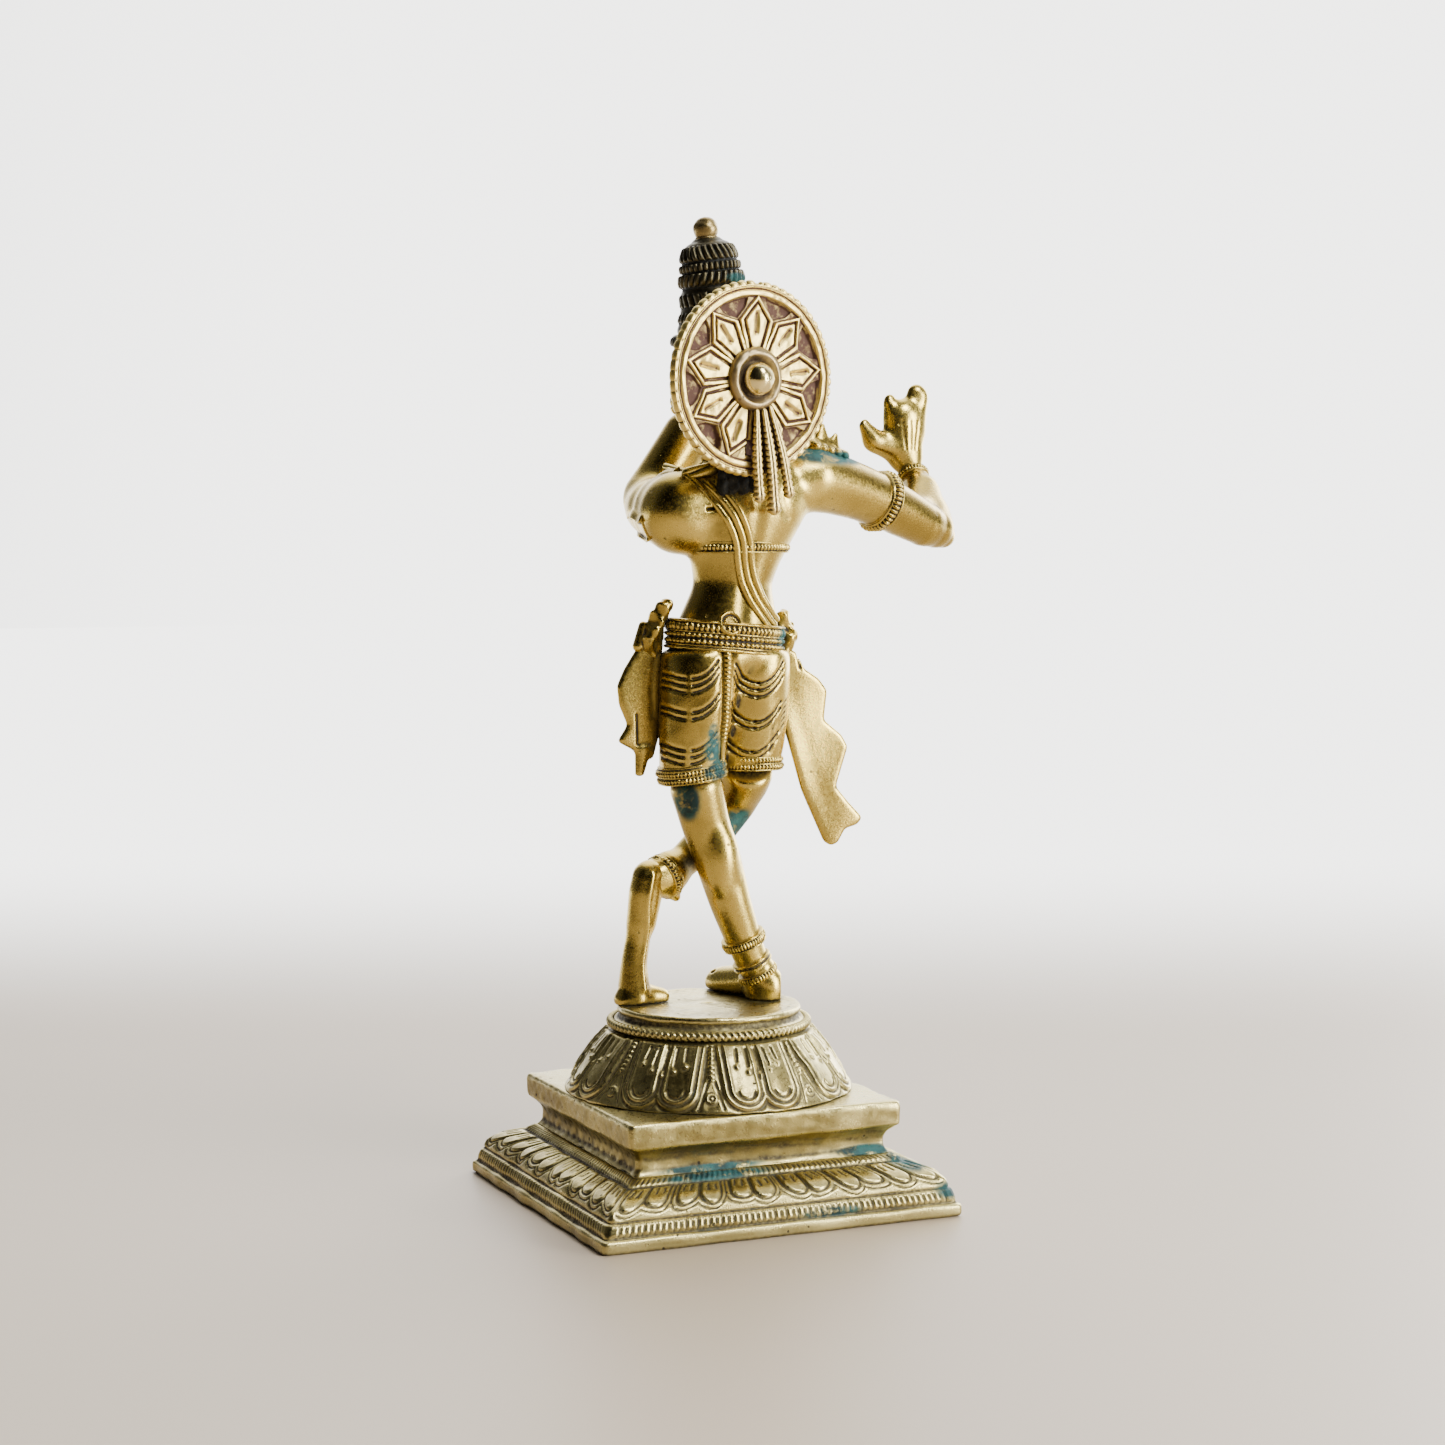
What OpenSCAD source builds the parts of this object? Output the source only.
// Small cast brass figure of a standing flute player: legs crossed, a halo wheel behind the
// head, on a round lotus seat and a square stepped plinth. Millimetres, +Z up.
// The origin is the middle of the plinth's underside. The figure faces -Y, so its left is +X.

/* [Pedestal] */
// Width of the square plinth at its foot
plinth_w = 64; // [62:0.5:68]
// Width of the square slab under the lotus seat
slab_w = 48.8; // [48:0.2:51]
// Height of the lower, moulded tier of the plinth
tier_h = 9.6; // [9:0.1:10]
// Height of the top of the slab
slab_h = 18.6; // [18:0.1:19]
// Radius of the lotus seat at its petal tips
lotus_r = 24.4; // [23.5:0.1:25]
// Height of the floor that the figure stands on
seat_h = 32.9; // [32.5:0.1:33.2]
// Radius of the disc that the figure stands on
seat_r = 15.7; // [15.5:0.1:17]
// Thickness of the hollow pedestal's walls
wall = 2.8; // [2:0.1:3.2]

/* [Halo wheel] */
// Radius of the halo wheel over its beads
halo_r = 16.3; // [15:0.1:17]
// Thickness of the halo wheel's plate
halo_t = 1.8; // [1.4:0.1:2.4]
// Petals on the halo wheel
halo_petals = 9; // [7:1:12]
// Radius of the pin that holds the halo wheel
halo_pin_r = 1.2; // [1:0.1:1.5]

/* [Ornaments] */
// How far a band stands proud of the limb under it
band_proud = 0.7; // [0.5:0.1:1]
// Radius of the ball on top of the crown
finial_r = 2.1; // [1.8:0.1:2.4]
// Radius of the peg under each foot
peg_r = 1.5; // [1.2:0.1:1.6]

/* [Hidden] */
$fn = 48;
limb_fn = 18;
fit = 0.05;
shell_clear = 0.02;

// Hip, chest and head: [centre, half width, half depth] from low to high.
hip_z = 95.2;
hip_tilt = 5;
belt_c = [-3, 0, hip_z];
belt_h = 4.6;
cloth_split_x = -3;
back_strip_x = -0.4;
torso_rings = [
  [[-3.2, 0, 95.4], 9.5, 6.8], [[-3.8, 0, 100], 7.9, 6.0], [[-4.4, 0, 104], 6.6, 5.4],
  [[-5.0, 0, 108], 7.7, 5.9], [[-5.7, 0, 112], 9.4, 6.7], [[-6.6, 0.2, 116.5], 11.2, 7.2],
  [[-7.2, 0.2, 120.5], 11.8, 6.8], [[-7.2, 0, 124], 8.8, 5.4], [[-6.9, 0, 126.4], 4.4, 4.1]
];
neck_rings = [
  [[-6.9, 0, 126.4], 3.9, 3.8], [[-6.2, -0.2, 128.4], 3.6, 3.5], [[-5.4, -0.4, 130.4], 3.8, 3.8]
];
left_cloth_rings = [
  [[1.9, 0.3, 93.2], 6.5, 7.0], [[2.1, 0.6, 89], 6.7, 7.4], [[2.6, 0.8, 83], 6.4, 7.0],
  [[3.2, 0.8, 77.5], 5.9, 6.2], [[3.4, 0.6, 70.8], 5.4, 5.6]
];
right_cloth_rings = [
  [[-8.0, -0.2, 93.2], 6.5, 6.9], [[-8.2, -0.4, 89], 6.5, 7.2], [[-8.6, -1.2, 83], 6.2, 6.8],
  [[-8.7, -2.0, 77.5], 5.9, 6.3], [[-8.5, -2.8, 72.4], 5.5, 5.8]
];

// Limbs: [centre, radius] from the body outwards.
left_leg_path = [
  [[2.9, 0.5, 71.6], 4.9], [[2.0, 0.3, 68.5], 4.6], [[0.6, 0, 63.5], 4.25],
  [[-1.6, 0.5, 57], 4.1], [[-3.8, 0.5, 50], 3.7], [[-6.2, 0.1, 44], 3.3],
  [[-8.2, -0.2, 39.5], 3.0], [[-9.7, -0.3, 36.6], 2.9]
];
right_leg_path = [
  [[-8.6, -3.0, 73.0], 5.0], [[-9.0, -5.8, 69.6], 4.5], [[-8.6, -8.8, 66], 4.0],
  [[-6.0, -8.6, 62.6], 3.6], [[-2.4, -7.8, 59.4], 3.4], [[1.6, -6.8, 56.6], 3.0],
  [[5.0, -5.8, 54.6], 2.8], [[8.0, -4.6, 53.4], 2.5]
];
left_arm_path = [
  [[4.8, 5.0, 115.8], 2.6], [[4.8, 4.0, 115.8], 4.8], [[4.8, 1.8, 116], 6.6], [[4.7, -1.4, 116.2], 7.1],
  [[5.0, -6, 116.6], 6.3], [[4.6, -11, 117], 5.3], [[4.0, -16.4, 117.4], 4.6]
];
left_forearm_path = [
  [[3.0, -18.6, 117.8], 4.2], [[-1.2, -19.8, 122.2], 3.7], [[-6, -20.6, 127.5], 3.0],
  [[-9.8, -20.8, 131.2], 2.4]
];
right_arm_path = [
  [[-14.6, 0.2, 121.6], 4.8], [[-18.8, 0, 122.2], 5.6], [[-24, -1, 121.2], 5.0],
  [[-29.5, -2.2, 119.8], 4.6], [[-34.5, -3.4, 118.2], 4.4], [[-39.5, -4.6, 116.3], 4.0],
  [[-44.2, -5.8, 114.4], 3.5]
];
right_forearm_path = [
  [[-47.0, -7.0, 113.6], 3.2], [[-48, -10, 115.8], 3.2], [[-48.1, -14.5, 120], 2.9],
  [[-48.1, -18.3, 123.6], 2.4]
];

// The crown stands on its own tilted axis, and the halo wheel faces along halo_n.
crown_foot = [-1.7, 0, 145.4];
crown_dir = [2.2, 0, 17.9];
finial_up = 18.1;
halo_c = [-3.4, 11.2, 138.1];
halo_n = [-0.184, 0.98, -0.043];
left_peg_at = [-10.2, -3.4];
right_peg_at = [11.2, -4.4];

// ---- helpers -------------------------------------------------------------------------
function unit(v) = v / norm(v);
function path_dir(path, i) = unit(path[min(i + 1, len(path) - 1)][0] - path[max(i - 1, 0)][0]);
function ellipse_ring(c, rx, ry, dir, n) =
  let(side = unit(cross([0, 1, 0.001], dir)), fore = cross(dir, side))
  [for (k = [0:n - 1]) c + side * rx * cos(360 * k / n) + fore * ry * sin(360 * k / n)];

// A closed skin through a list of rings with the same number of points, low to high.
module skin_rings(rings) {
  n = len(rings[0]);
  top = len(rings) - 1;
  sides = [for (j = [0:top - 1]) for (k = [0:n - 1])
    let(a = j * n + k, b = j * n + (k + 1) % n) each [[a, a + n, b + n], [a, b + n, b]]];
  polyhedron(
    points = [for (r = rings) each r],
    faces = concat(sides, [[for (k = [0:n - 1]) k]], [[for (k = [n - 1:-1:0]) top * n + k]])
  );
}

// A stack of level ellipses, such as a torso.
module stack(rings, n = 24) {
  skin_rings([for (r = rings) ellipse_ring(r[0], r[1], r[2], [0, 0, 1], n)]);
}

// A round limb along a path, with a rounded far end if round_end is true.
module limb(path, round_end = false, flat = 1) {
  last = len(path) - 1;
  end_dir = path_dir(path, last);
  body = [for (i = [0:last])
    ellipse_ring(path[i][0], path[i][1], path[i][1] * flat, path_dir(path, i), limb_fn)];
  tip = [for (a = [35, 65, 84])
    ellipse_ring(path[last][0] + end_dir * path[last][1] * sin(a), path[last][1] * cos(a),
      path[last][1] * cos(a) * flat, end_dir, limb_fn)];
  skin_rings(round_end ? concat(body, tip) : body);
}

// Stands children, made about +Z, at a point with +Z turned to a direction.
module placed(c, dir) {
  d = unit(dir);
  translate(c) rotate([0, acos(d[2]), atan2(d[1], d[0])]) children();
}

// A round band about a path's point: outer radius, height and bore.
module band(c, dir, r_out, r_in, h) {
  placed(c, dir) rotate_extrude() polygon([
    [r_in, -h / 2], [r_out - 0.3, -h / 2], [r_out, -h / 4], [r_out, h / 4], [r_out - 0.3, h / 2],
    [r_in, h / 2]
  ]);
}

// Keeps a boolean of free-form solids as one mesh.
module one_mesh() {
  resize([0, 0, 0]) children();
}

module above(z) {
  intersection() {
    children();
    translate([-100, -100, z]) cube([200, 200, 200]);
  }
}

// A square tube of given half widths and heights, low to high.
module square_stack(levels) {
  skin_rings([for (l = levels)
    [for (s = [[1, 1], [-1, 1], [-1, -1], [1, -1]]) [s[0] * l[0], s[1] * l[0], l[1]]]]);
}

// ---- pedestal ------------------------------------------------------------------------
plinth_s = plinth_w / 2;
slab_s = slab_w / 2;
neck_s = slab_s - 2.1;
inner_s = neck_s - wall;

module plinth_base() {
  foot_h = 2.1;
  color("goldenrod") difference() {
    union() {
      translate([-plinth_s, -plinth_s, 0]) cube([plinth_w, plinth_w, foot_h]);
      square_stack([
        [plinth_s - 0.5, foot_h - 0.2], [plinth_s - 0.9, 4.4], [plinth_s - 1.7, 4.7],
        [plinth_s - 2.2, 6.3], [plinth_s - 4.2, 7.6], [slab_s + 0.6, 8.5], [neck_s + 1, 9.1],
        [neck_s + 0.7, tier_h]
      ]);
    }
    translate([-plinth_s + wall, -plinth_s + wall, -1])
      cube([plinth_w - 2 * wall, plinth_w - 2 * wall, 1 + foot_h]);
    square_stack([
      [plinth_s - wall - 0.4, foot_h - 0.1], [plinth_s - wall - 2, 4.2], [inner_s, 7],
      [inner_s, tier_h + 1]
    ]);
  }
}

module plinth_slab() {
  plate_h = 2.6;
  color("goldenrod") difference() {
    square_stack([
      [neck_s + 0.7, tier_h], [neck_s, 10.6], [neck_s, 12.6], [neck_s + 0.5, 13.5],
      [slab_s - 0.3, 14.5], [slab_s, 14.9], [slab_s, slab_h - 0.3], [slab_s - 0.3, slab_h]
    ]);
    translate([-inner_s, -inner_s, tier_h - 1])
      cube([2 * inner_s, 2 * inner_s, slab_h - plate_h - tier_h + 1]);
    cylinder(r = inner_s - 1.5, h = 2 * slab_h);
  }
}

// Outline of the dome of petals: radius and height, from the rim to the crown.
dome_top = 30.2;
dome_outline = [[lotus_r, slab_h], [lotus_r + 0.1, 19.6], [lotus_r - 0.5, 22.2], [lotus_r - 1.9, 24.9],
  [lotus_r - 3.9, 27.2], [18.6, 28.6], [17.2, 29.1], [15.4, 29.3], [15.2, dome_top]];

module lotus_dome() {
  color("goldenrod") difference() {
    rotate_extrude() polygon(concat([[inner_s - 1.5, slab_h]], dome_outline,
      [[0, dome_top], [0, dome_top - wall], [13.5, dome_top - wall], [18, 24.5]]));
    for (p = [left_peg_at, right_peg_at]) translate([p[0], p[1], 20]) cylinder(r = peg_r + fit, h = 20);
  }
}

module lotus_bead_ring() {
  bead_r = 0.75;
  ring_r = 16.8;
  color("goldenrod") rotate_extrude() translate([ring_r, 29.25 + bead_r]) circle(r = bead_r, $fn = 24);
}

module seat_disc() {
  rim_h = 1.6;
  color("goldenrod") difference() {
    union() {
      translate([0, 0, seat_h - rim_h]) cylinder(r = seat_r, h = rim_h);
      translate([0, 0, dome_top]) cylinder(r = seat_r - 0.8, h = seat_h - rim_h - dome_top + 0.1);
    }
    for (p = [left_peg_at, right_peg_at]) translate([p[0], p[1], 20]) cylinder(r = peg_r + fit, h = 20);
  }
}

// A peg whose lower end is peened over under the seat.
module foot_peg(at, top) {
  head_h = 1.2;
  color("darkgoldenrod") translate([at[0], at[1], dome_top - wall]) {
    cylinder(r = peg_r, h = top - dome_top + wall);
    translate([0, 0, -head_h]) cylinder(r1 = peg_r + 0.5, r2 = peg_r + 1.1, h = head_h);
  }
}
module left_foot_peg() foot_peg(left_peg_at, seat_h + 1.4);
module right_foot_peg() foot_peg(right_peg_at, seat_h + 2.4);
module peg_socket(at, top) {
  translate([at[0], at[1], seat_h - 1]) cylinder(r = peg_r + fit, h = top - seat_h + 1 + fit, $fn = 24);
}

// ---- legs ----------------------------------------------------------------------------
module left_leg() color("gold") limb(left_leg_path);

module left_foot() {
  heel_to_toe = [
    [[-11.9, 3.0, 35.2], 1.2], [[-11.6, 2.0, 35.2], 2.4], [[-10.6, -2.4, 35.6], 3.1],
    [[-9.3, -7, 34.8], 3.1], [[-8.0, -11.5, 34.0], 3.1], [[-7.4, -13.8, 33.8], 2.6],
    [[-7.2, -14.8, 33.6], 1.6]
  ];
  color("gold") one_mesh() difference() {
    above(seat_h) limb(heel_to_toe);
    limb(left_leg_path);
    peg_socket(left_peg_at, seat_h + 1.4);
  }
}

// A band about a limb's path between two of its points; share runs from 0 to 1.
module limb_band(path, i, share, h, proud = band_proud) {
  c = path[i][0] * (1 - share) + path[i + 1][0] * share;
  r = path[i][1] * (1 - share) + path[i + 1][1] * share;
  band(c, path[i + 1][0] - path[i][0], r + proud, r + shell_clear, h);
}

module left_anklet_upper() color("gold") limb_band(left_leg_path, 5, 0.15, 1.9);
module left_anklet_lower() color("gold") {
  limb_band(left_leg_path, 6, 0.0, 1.4, 0.5);
  limb_band(left_leg_path, 6, 0.75, 1.6, 0.6);
}

module right_leg() color("gold") limb(right_leg_path, round_end = true);

module right_foot() {
  heel_to_toe = [
    [[9.8, -3.2, 56.6], 1.0], [[10.0, -3.4, 55.4], 2.2], [[10.4, -3.7, 52], 2.6],
    [[10.9, -4.0, 47], 2.3], [[11.4, -4.2, 43.5], 2.2], [[12.0, -4.3, 40], 2.3],
    [[12.0, -4.4, 36.6], 2.7], [[11.8, -4.4, seat_h], 3.2]
  ];
  color("gold") one_mesh() difference() {
    above(seat_h) union() {
      limb(heel_to_toe);
      limb([[[9.6, -4.8, 34.4], 1.9], [[7.4, -5.0, 33.9], 1.4]], round_end = true);
    }
    limb(right_leg_path, round_end = true);
    peg_socket(right_peg_at, seat_h + 2.4);
  }
}

module right_anklet() color("gold") limb_band(right_leg_path, 6, 0.35, 2.0, 1.3);

// ---- clothes -------------------------------------------------------------------------
module cloth_half(side) {
  translate([side > 0 ? cloth_split_x : cloth_split_x - 50, -50, 0]) cube([50, 100, 200]);
}

module left_thigh_cloth() color("gold") one_mesh() intersection() {
  stack([for (i = [len(left_cloth_rings) - 1:-1:0]) left_cloth_rings[i]]);
  cloth_half(1);
}

module right_thigh_cloth() color("gold") one_mesh() intersection() {
  stack([for (i = [len(right_cloth_rings) - 1:-1:0]) right_cloth_rings[i]]);
  cloth_half(-1);
}

// An oval band about a ring of cloth.
module oval_band(c, rx, ry, h, tilt, proud, n = 36) {
  translate(c) rotate([0, -tilt, 0]) difference() {
    skin_rings([for (l = [[-h / 2, -0.3], [-h / 3, 0], [h / 3, 0], [h / 2, -0.3]])
      ellipse_ring([0, 0, l[0]], rx + proud + l[1], ry + proud + l[1], [0, 0, 1], n)]);
    skin_rings([for (z = [-h, h]) ellipse_ring([0, 0, z], rx, ry, [0, 0, 1], n)]);
  }
}

module left_hem_band() color("gold") one_mesh() intersection() {
  oval_band(left_cloth_rings[4][0] + [0, 0, 1.9], 5.5, 5.75, 3.4, -9, 0.6);
  cloth_half(1);
}
module right_hem_band() color("gold") one_mesh() intersection() {
  oval_band(right_cloth_rings[4][0] + [0, 0, 1.4], 5.65, 6.0, 2.8, 0, 0.5);
  cloth_half(-1);
}

module back_pleat_strip() {
  strip_w = 1.8;
  foot_z = 78.5;
  color("gold") translate([back_strip_x - strip_w / 2, 5.4, foot_z])
    cube([strip_w, 2.9, hip_z - belt_h / 2 - foot_z]);
}

module waist_belt() color("gold") one_mesh() oval_band(belt_c, 9.9, 7.0, belt_h, hip_tilt, 0.9);

module belt_roundel() {
  roundel_r = 2.2;
  color("gold") difference() {
    translate([-1.0, 6.1, hip_z + belt_h / 2 + 0.2]) rotate([-70, 0, 0]) cylinder(r = roundel_r, h = 1.2);
    translate([-20, -20, hip_z - 20 + belt_h / 2]) cube([40, 40, 20]);
  }
}

module front_pleat() color("gold") hull() {
  translate([cloth_split_x - 1.8, -8.6, 91]) cube([3.6, 1.8, 1.6]);
  translate([cloth_split_x - 2.6, -7.6, 74]) cube([5.2, 2.6, 1.5]);
}

// The wavy hanging ends of the waist sash: corners as [x, z], thickness and place in Y.
module cloth_plate(corners, t, y) {
  translate([0, y + t, 0]) rotate([90, 0, 0]) linear_extrude(t) polygon(corners);
}
module left_sash_flare() color("gold") cloth_plate([
  [7.6, 97.6], [11.4, 95], [14.7, 90], [16, 87.2], [15.7, 84], [14.2, 80.6], [16.1, 77.8], [11.6, 75.5],
  [9.4, 74.4], [7.8, 80]], 1.3, -2.6);
module right_sash_flare() color("gold") cloth_plate([
  [-13.8, 94], [-17.3, 92.3], [-18.5, 89.6], [-21.4, 87.8], [-23.1, 85.7], [-22.5, 80.6], [-25.9, 77.9],
  [-27.1, 75.8], [-24.8, 68.9], [-27.1, 66.2], [-30, 63.3], [-28.9, 62], [-26.5, 61.4], [-25.1, 59],
  [-23.8, 58.5], [-22.5, 59.3], [-18.2, 68.6], [-15.7, 76.6], [-13.9, 82]], 1.5, -2.4);
module left_sash_knot() color("gold") hull() {
  translate([8.4, 0.2, 100.6]) sphere(r = 1.5, $fn = 16);
  translate([10.2, -1.2, 95.4]) sphere(r = 1.7, $fn = 16);
  translate([9.6, -1.8, 92.6]) sphere(r = 1.2, $fn = 16);
}
module right_sash_knot() color("gold") hull() {
  translate([-14.4, -1.6, 98.6]) sphere(r = 1.3, $fn = 16);
  translate([-15.6, -1.6, 95]) sphere(r = 1.6, $fn = 16);
  translate([-15.2, -1.6, 92.2]) sphere(r = 1.1, $fn = 16);
}

// ---- torso and arms ------------------------------------------------------------------
module torso() color("gold") one_mesh() difference() {
  stack(torso_rings);
  limb(left_arm_path);
  limb(right_arm_path);
}

module chest_band() color("gold") one_mesh() oval_band([-5.4, 0, 110.4], 8.75, 6.45, 1.9, 0, 0.6);

// A three-strand cord over the left shoulder, down the back to the right hip.
module shoulder_cord() {
  strand_r = 0.62;
  strand_gap = 1.15;
  route = [
    [3.8, 4.4, 124.2], [1.4, 6.0, 121.2], [-0.6, 7.3, 118.2], [-2.6, 7.5, 114.9], [-3.6, 7.2, 111.6],
    [-4.0, 6.6, 108.3], [-5.0, 6.0, 104.9], [-6.4, 5.8, 101.6], [-8.8, 5.9, 98.2], [-10.6, 5.6, 96.6]
  ];
  last = len(route) - 1;
  color("gold") for (k = [-1, 0, 1])
    skin_rings([for (i = [0:last])
      let(d = unit(route[min(i + 1, last)] - route[max(i - 1, 0)]), across = unit(cross(d, [0, 1, 0])))
      ellipse_ring(route[i] + across * k * strand_gap, strand_r, strand_r, d, 8)]);
}

module necklace() color("gold") one_mesh() oval_band([-6.9, -0.4, 124.8], 7.0, 4.8, 1.4, 4, 0.8);

module neck() color("gold") stack(neck_rings);

module left_upper_arm() color("gold") limb(left_arm_path);
module left_armlet() color("gold") limb_band(left_arm_path, 4, 0.0, 3.4);
module left_forearm() color("gold") one_mesh() difference() {
  union() {
    limb(left_forearm_path);
    translate(left_forearm_path[0][0]) sphere(r = 4.3, $fn = 20);
  }
  limb(left_arm_path);
}
module left_bracelet() color("gold") limb_band(left_forearm_path, 2, 0.7, 1.6);
module left_hand() color("gold") one_mesh() difference() {
  union() {
    limb([[[-9.8, -20.8, 131.2], 2.3], [[-12.2, -20.8, 133.4], 2.7], [[-14.8, -20.4, 135.2], 2.3]],
      round_end = true, flat = 0.7);
    for (k = [0:3])
      limb([
        [[-13.4 - k * 0.9, -20.6, 134.6 - k * 0.9], 0.95],
        [[-15.6 - k * 0.9, -19.6, 137.2 - k * 1.3], 0.8],
        [[-14.9 - k * 0.9, -17.6, 137.6 - k * 1.4], 0.7]
      ], round_end = true);
  }
  limb(left_forearm_path);
}

module right_upper_arm() color("gold") limb(right_arm_path);
module right_armlet() color("gold") limb_band(right_arm_path, 3, 0.9, 2.4);
module right_forearm() color("gold") one_mesh() difference() {
  union() {
    limb(right_forearm_path);
    translate(right_forearm_path[0][0]) sphere(r = 3.3, $fn = 20);
  }
  limb(right_arm_path);
}
module right_bracelet() color("gold") limb_band(right_forearm_path, 2, 0.8, 1.6);
module right_hand() color("gold") one_mesh() difference() {
  union() {
    limb([[[-48.1, -18.3, 123.6], 2.2], [[-48, -19.2, 126.4], 2.5], [[-47.4, -19.6, 130.5], 3.1],
      [[-47.3, -19.7, 133], 2.9]], flat = 0.75);
    limb([[[-49.2, -19.7, 132.2], 1.5], [[-50.9, -19.8, 137.3], 1.25]], round_end = true);
    limb([[[-45.8, -19.7, 132.4], 1.35], [[-44.3, -19.8, 136.3], 0.9]], round_end = true);
    limb([[[-45.6, -19.4, 128.2], 1.7], [[-41.2, -19.1, 128.8], 1.2], [[-38.6, -19, 131.9], 0.8]],
      round_end = true);
  }
  limb(right_forearm_path);
}

module left_shoulder_tie() color("gold") hull() {
  translate([0.6, 3.2, 123.4]) sphere(r = 1.3, $fn = 16);
  translate([4.8, 2.4, 122.6]) sphere(r = 1.2, $fn = 16);
}
module right_shoulder_tie() color("gold") hull() {
  translate([-18.8, 1.6, 127.4]) sphere(r = 1.4, $fn = 16);
  translate([-25.2, 0.4, 126.0]) sphere(r = 1.1, $fn = 16);
}

// ---- head ----------------------------------------------------------------------------
module head() color("gold") one_mesh() difference() {
  stack([
    [[-5.4, -1.6, 129.0], 3.0, 3.6], [[-4.8, -1.4, 131.2], 5.2, 6.0], [[-3.9, -1.0, 134.6], 6.5, 7.3],
    [[-2.9, -0.6, 138.6], 7.2, 7.8], [[-2.1, -0.2, 142.6], 7.2, 7.6],
    [[-1.8, 0, crown_foot[2] - 0.7], 7.0, 7.2]
  ]);
  stack(neck_rings);
  placed(halo_c, halo_n) translate([0, 0, -8]) cylinder(r = halo_pin_r + fit, h = 10, $fn = 24);
}

module hair_tresses() color("saddlebrown") hull() {
  translate([-3.4, 6.6, 133]) sphere(r = 2.6, $fn = 16);
  translate([-5.4, 7.2, 120.6]) sphere(r = 1.3, $fn = 16);
  translate([0.2, 6.8, 120.2]) sphere(r = 1.4, $fn = 16);
}

module ear_pendant(side) {
  c = side > 0 ? [4.6, 0.2, 140] : [-10.2, -1.2, 139.6];
  color("gold") hull() {
    translate(c) sphere(r = 2.4, $fn = 16);
    translate(c + [side * 0.9, 0, -6.2]) sphere(r = 1.6, $fn = 16);
  }
}
module left_ear_pendant() ear_pendant(1);
module right_ear_pendant() ear_pendant(-1);

module crown_band() color("saddlebrown") placed(crown_foot, crown_dir)
  rotate_extrude() polygon([[5.5, -0.6], [7.8, -0.6], [8.2, 0], [7.9, 0.9], [7.2, 1.5], [5.5, 1.5]]);

module crown() color("saddlebrown") placed(crown_foot, crown_dir) rotate_extrude() polygon([
  [0, 0], [5.5 - shell_clear, 0], [5.5 - shell_clear, 1.5], [6.6, 1.5], [6.3, 3.1], [6.0, 4.6], [5.6, 5.8],
  [5.5, 8.2], [5.0, 9.8], [5.1, 10.4], [4.8, 11.4], [4.9, 12.4], [4.7, 13.6], [4.1, 14.9], [3.2, 16.0],
  [2.3, 16.6], [0, 16.6]]);

module crown_finial() color("darkgoldenrod") placed(crown_foot, crown_dir) {
  translate([0, 0, 16.6]) cylinder(r = 1.8, h = 0.6);
  translate([0, 0, finial_up]) sphere(r = finial_r);
}

// ---- halo wheel ----------------------------------------------------------------------
halo_face_r = halo_r - 1.3;
hub_r = 4.7;

// Stands children, drawn face up with +Y at the top, on the wheel's face.
module on_halo() {
  side = unit(cross([0, 0, 1], halo_n));
  top = unit(cross(halo_n, side));
  multmatrix(concat([for (i = [0:2]) [side[i], top[i], halo_n[i], halo_c[i]]], [[0, 0, 0, 1]])) children();
}

module halo_wheel() {
  gap_r = 1.35;
  first_gap = 23;
  color("gold") placed(halo_c, halo_n) difference() {
    translate([0, 0, -halo_t]) cylinder(r = halo_face_r, h = halo_t);
    for (k = [0:halo_petals - 1]) rotate(first_gap + k * 360 / halo_petals)
      translate([0.76 * halo_face_r, 0, -halo_t / 2]) cylinder(r = gap_r, h = halo_t);
    translate([0, 0, -5]) cylinder(r = halo_pin_r + fit, h = 10);
  }
}

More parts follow.
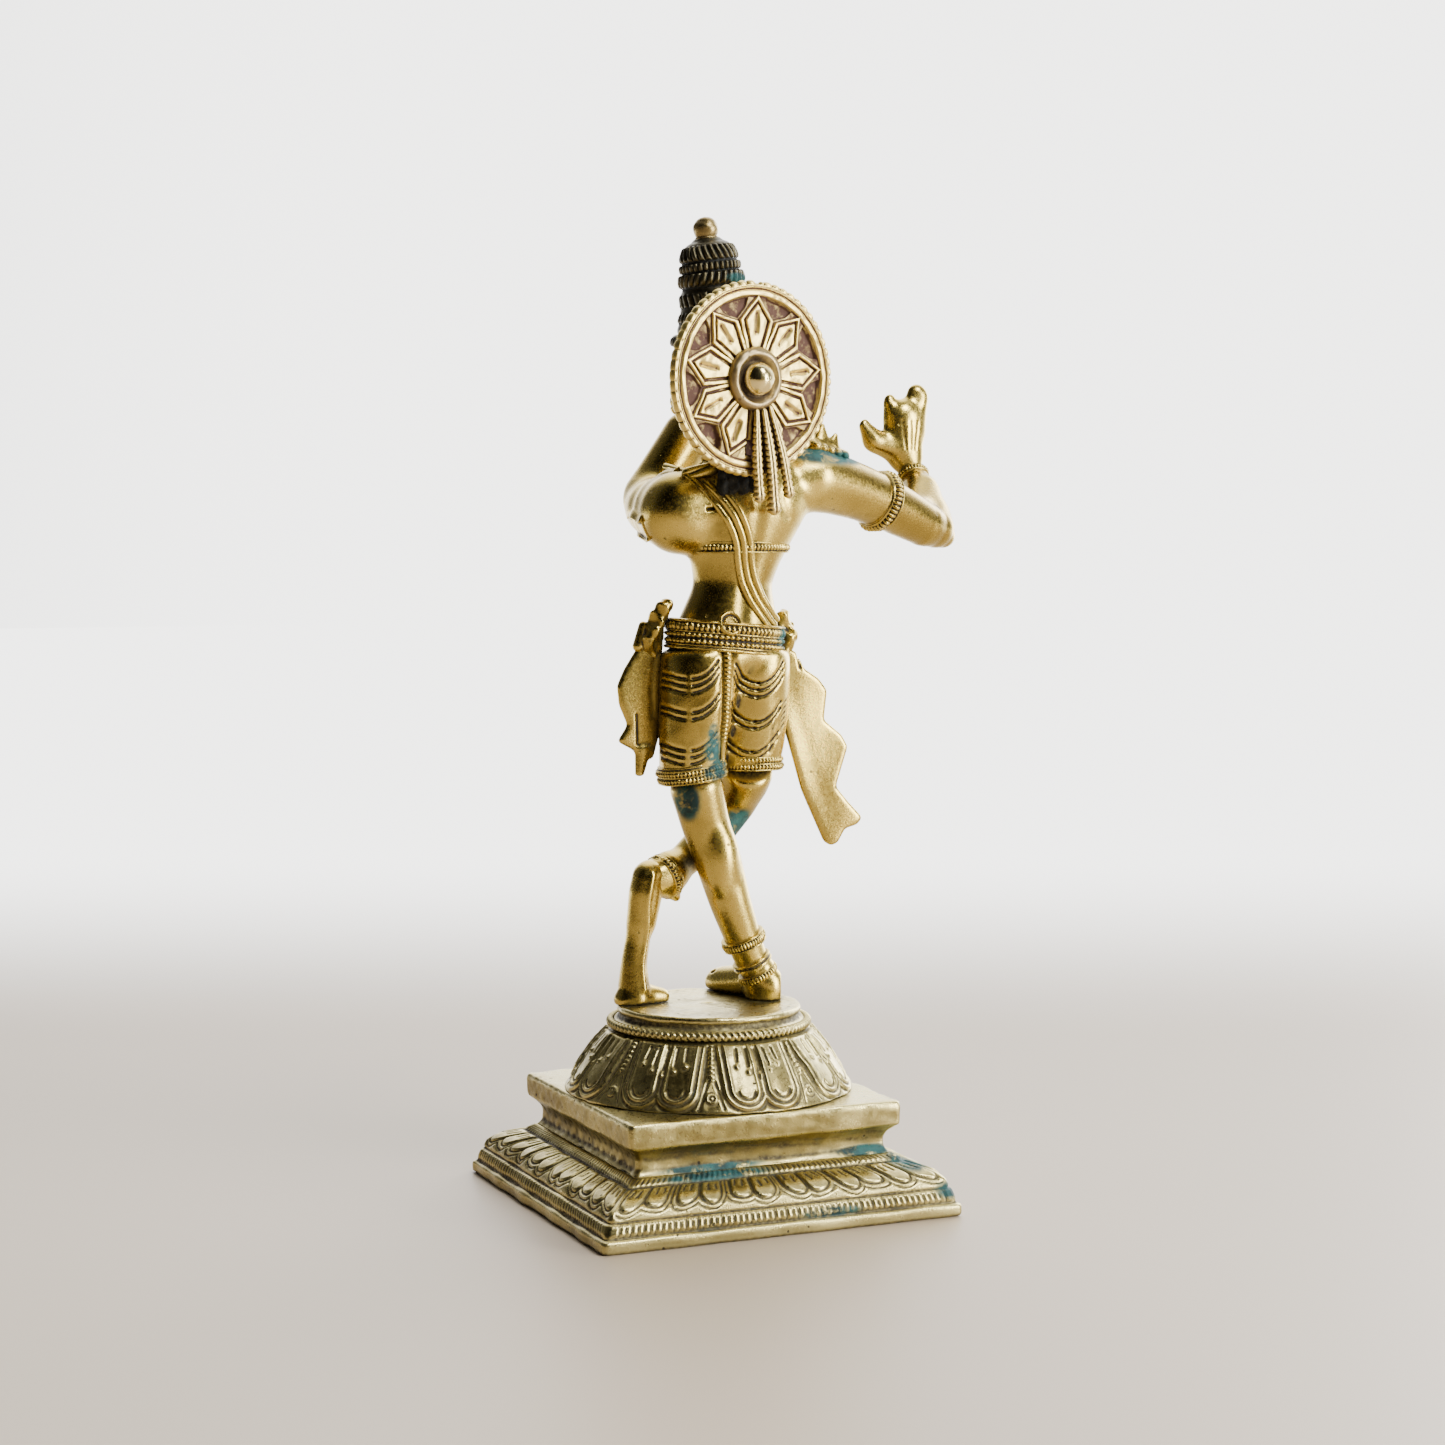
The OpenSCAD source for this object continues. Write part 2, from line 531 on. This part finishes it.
module halo_bead_rim() {
  beads = 56;
  color("gold") placed(halo_c, halo_n) translate([0, 0, -halo_t]) linear_extrude(halo_t) difference() {
    polygon([for (k = [0:2 * beads - 1])
      let(r = halo_r - (k % 2) * 0.5, a = 180 * k / beads) [r * cos(a), r * sin(a)]]);
    circle(r = halo_face_r);
  }
}

module halo_hub() color("gold") placed(halo_c, halo_n) rotate_extrude() polygon([
  [halo_pin_r + fit, 0], [hub_r, 0], [hub_r - 0.5, 1.1], [hub_r - 1.3, 1.3], [hub_r - 1.8, 0.9],
  [halo_pin_r + fit, 0.7]
]);

// A pin with a domed head that holds the wheel to the back of the head.
module halo_pin() {
  dome_r = 2.75;
  color("gold") placed(halo_c, halo_n) {
    translate([0, 0, -7.5]) cylinder(r = halo_pin_r, h = 8.6);
    translate([0, 0, 0.9]) intersection() {
      cylinder(r = 5, h = 5);
      sphere(r = dome_r);
    }
  }
}

// Three bead strings that fan out from the hub and hang past the rim.
module halo_tassels() {
  string_r = 0.85;
  // Lean from straight down, length and end radius of each string.
  strings = [[3, 20.4, 1.0], [11, 22.5, 1.15], [20.5, 20.3, 0.9]];
  color("gold") on_halo() for (s = strings)
    rotate([0, 0, s[0]]) hull() {
      translate([0, -hub_r - 0.4, string_r + 0.05]) sphere(r = string_r, $fn = 16);
      translate([0, -s[1] + s[2], s[2] + 0.1]) sphere(r = s[2], $fn = 16);
    }
}

// ---- output --------------------------------------------------------------------------
plinth_base();
plinth_slab();
lotus_dome();
lotus_bead_ring();
seat_disc();
left_foot_peg();
right_foot_peg();
left_leg();
left_foot();
left_anklet_upper();
left_anklet_lower();
right_leg();
right_foot();
right_anklet();
left_thigh_cloth();
right_thigh_cloth();
left_hem_band();
right_hem_band();
back_pleat_strip();
waist_belt();
belt_roundel();
front_pleat();
left_sash_flare();
right_sash_flare();
left_sash_knot();
right_sash_knot();
torso();
chest_band();
shoulder_cord();
necklace();
neck();
head();
hair_tresses();
left_ear_pendant();
right_ear_pendant();
crown_band();
crown();
crown_finial();
left_upper_arm();
left_armlet();
left_forearm();
left_bracelet();
left_hand();
right_upper_arm();
right_armlet();
right_forearm();
right_bracelet();
right_hand();
left_shoulder_tie();
right_shoulder_tie();
halo_wheel();
halo_bead_rim();
halo_hub();
halo_pin();
halo_tassels();
